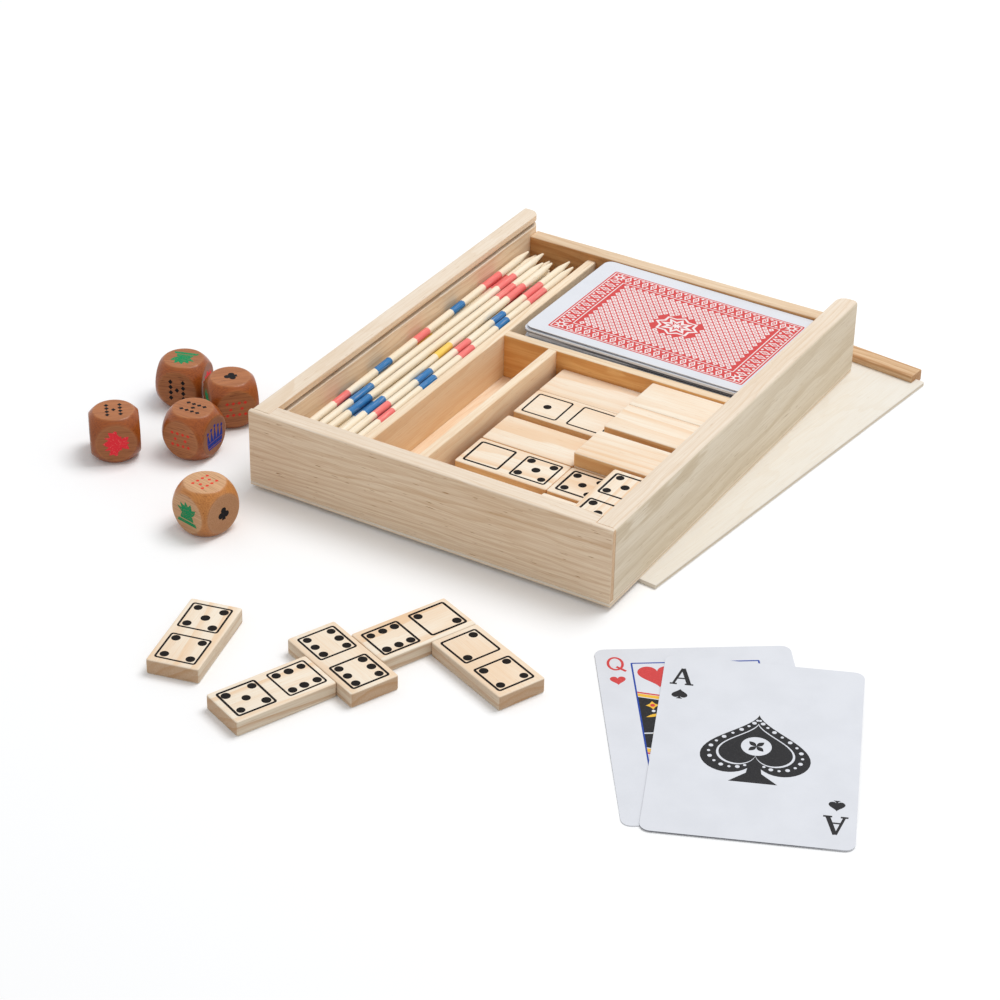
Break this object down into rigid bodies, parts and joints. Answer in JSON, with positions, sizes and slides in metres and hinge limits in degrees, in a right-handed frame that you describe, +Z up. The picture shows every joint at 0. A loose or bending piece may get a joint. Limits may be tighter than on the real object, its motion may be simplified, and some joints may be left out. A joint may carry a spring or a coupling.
{
  "type": "games compendium box",
  "caption": "Sliding-lid wooden box with compartments for a deck of cards, dominoes, dice and pick-up sticks, lid off and some pieces laid out.",
  "frame": {"origin": "on the table, under the middle of the box, in the plane of the lid's outer face", "axes": "+X to the box's right, +Y to its back, where the lid goes in, +Z up"},
  "size_m": [0.3214, 0.3248, 0.0306],
  "materials": {
    "pine_frame": "planed bare pine",
    "pine_divider": "sanded bare pine",
    "plywood": "sanded thin plywood",
    "domino_wood": "sanded bare pine, printed in black",
    "dice_wood": "oiled hardwood, printed",
    "card_stock": "coated card",
    "card_back": "coated card with a printed back",
    "stick_wood": "bare softwood with painted rings"
  },
  "bodies": {
    "box": {"floor_panel": "plywood", "front_wall": "pine_frame", "back_wall": "pine_frame", "left_wall": "pine_frame", "right_wall": "pine_frame", "long_divider": "pine_divider", "card_divider": "pine_divider", "domino_divider": "pine_divider"},
    "lid": {"lid_panel": "plywood", "lid_batten": "pine_frame"},
    "dominoes_low": {"dominoes_layer_1": "domino_wood"},
    "dominoes_middle": {"dominoes_layer_2": "domino_wood", "domino_1_0": "domino_wood", "domino_0_5": "domino_wood", "domino_5_2": "domino_wood"},
    "dominoes_high": {"dominoes_layer_3": "domino_wood", "domino_5_3": "domino_wood"},
    "deck": {"card_deck_lower": "card_stock", "card_deck_upper": "card_stock", "card_top": "card_back"},
    "sticks": {"stick_master": "stick_wood", "sticks_five_rings": "stick_wood", "sticks_three_rings": "stick_wood", "sticks_blue_ends": "stick_wood", "sticks_two_rings": "stick_wood"},
    "queen": {"card_queen_of_hearts": "card_stock"},
    "ace": {"card_ace_of_spades": "card_stock"},
    "die_1": {"die_1": "dice_wood"},
    "die_2": {"die_2": "dice_wood"},
    "die_3": {"die_3": "dice_wood"},
    "die_4": {"die_4": "dice_wood"},
    "die_5": {"die_5": "dice_wood"},
    "domino_5_4": {"domino_5_4": "domino_wood"},
    "domino_5_6": {"domino_5_6": "domino_wood"},
    "domino_6_6": {"domino_6_6": "domino_wood"},
    "domino_6_2": {"domino_6_2": "domino_wood"},
    "domino_2_4": {"domino_2_4": "domino_wood"}
  },
  "joints": [
    {"name": "lid_slide", "type": "slide", "parent": "box", "child": "lid", "axis": [0.1146, 0.9934, 0], "range_m": [0, 0.175]},
    {"name": "dominoes_low_lift", "type": "slide", "parent": "box", "child": "dominoes_low", "axis": [0, 0, 1], "range_m": [0, 0.035]},
    {"name": "dominoes_middle_lift", "type": "slide", "parent": "dominoes_low", "child": "dominoes_middle", "axis": [0, 0, 1], "range_m": [0, 0.03]},
    {"name": "dominoes_high_lift", "type": "slide", "parent": "dominoes_middle", "child": "dominoes_high", "axis": [0, 0, 1], "range_m": [0, 0.025]},
    {"name": "deck_lift", "type": "slide", "parent": "box", "child": "deck", "axis": [0, 0, 1], "range_m": [0, 0.035]},
    {"name": "sticks_lift", "type": "slide", "parent": "box", "child": "sticks", "axis": [0, 0, 1], "range_m": [0, 0.035]},
    {"name": "queen_lift", "type": "slide", "parent": "box", "child": "queen", "axis": [0, 0, 1], "range_m": [0, 0.03]},
    {"name": "ace_lift", "type": "slide", "parent": "queen", "child": "ace", "axis": [0, 0, 1], "range_m": [0, 0.03]},
    {"name": "die_1_lift", "type": "slide", "parent": "box", "child": "die_1", "axis": [0, 0, 1], "range_m": [0, 0.03]},
    {"name": "die_2_lift", "type": "slide", "parent": "box", "child": "die_2", "axis": [0, 0, 1], "range_m": [0, 0.03]},
    {"name": "die_3_lift", "type": "slide", "parent": "box", "child": "die_3", "axis": [0, 0, 1], "range_m": [0, 0.03]},
    {"name": "die_4_lift", "type": "slide", "parent": "box", "child": "die_4", "axis": [0, 0, 1], "range_m": [0, 0.03]},
    {"name": "die_5_lift", "type": "slide", "parent": "box", "child": "die_5", "axis": [0, 0, 1], "range_m": [0, 0.03]},
    {"name": "domino_5_4_lift", "type": "slide", "parent": "box", "child": "domino_5_4", "axis": [0, 0, 1], "range_m": [0, 0.03]},
    {"name": "domino_5_6_lift", "type": "slide", "parent": "box", "child": "domino_5_6", "axis": [0, 0, 1], "range_m": [0, 0.03]},
    {"name": "domino_6_6_lift", "type": "slide", "parent": "box", "child": "domino_6_6", "axis": [0, 0, 1], "range_m": [0, 0.03]},
    {"name": "domino_6_2_lift", "type": "slide", "parent": "box", "child": "domino_6_2", "axis": [0, 0, 1], "range_m": [0, 0.03]},
    {"name": "domino_2_4_lift", "type": "slide", "parent": "box", "child": "domino_2_4", "axis": [0, 0, 1], "range_m": [0, 0.03]}
  ]
}
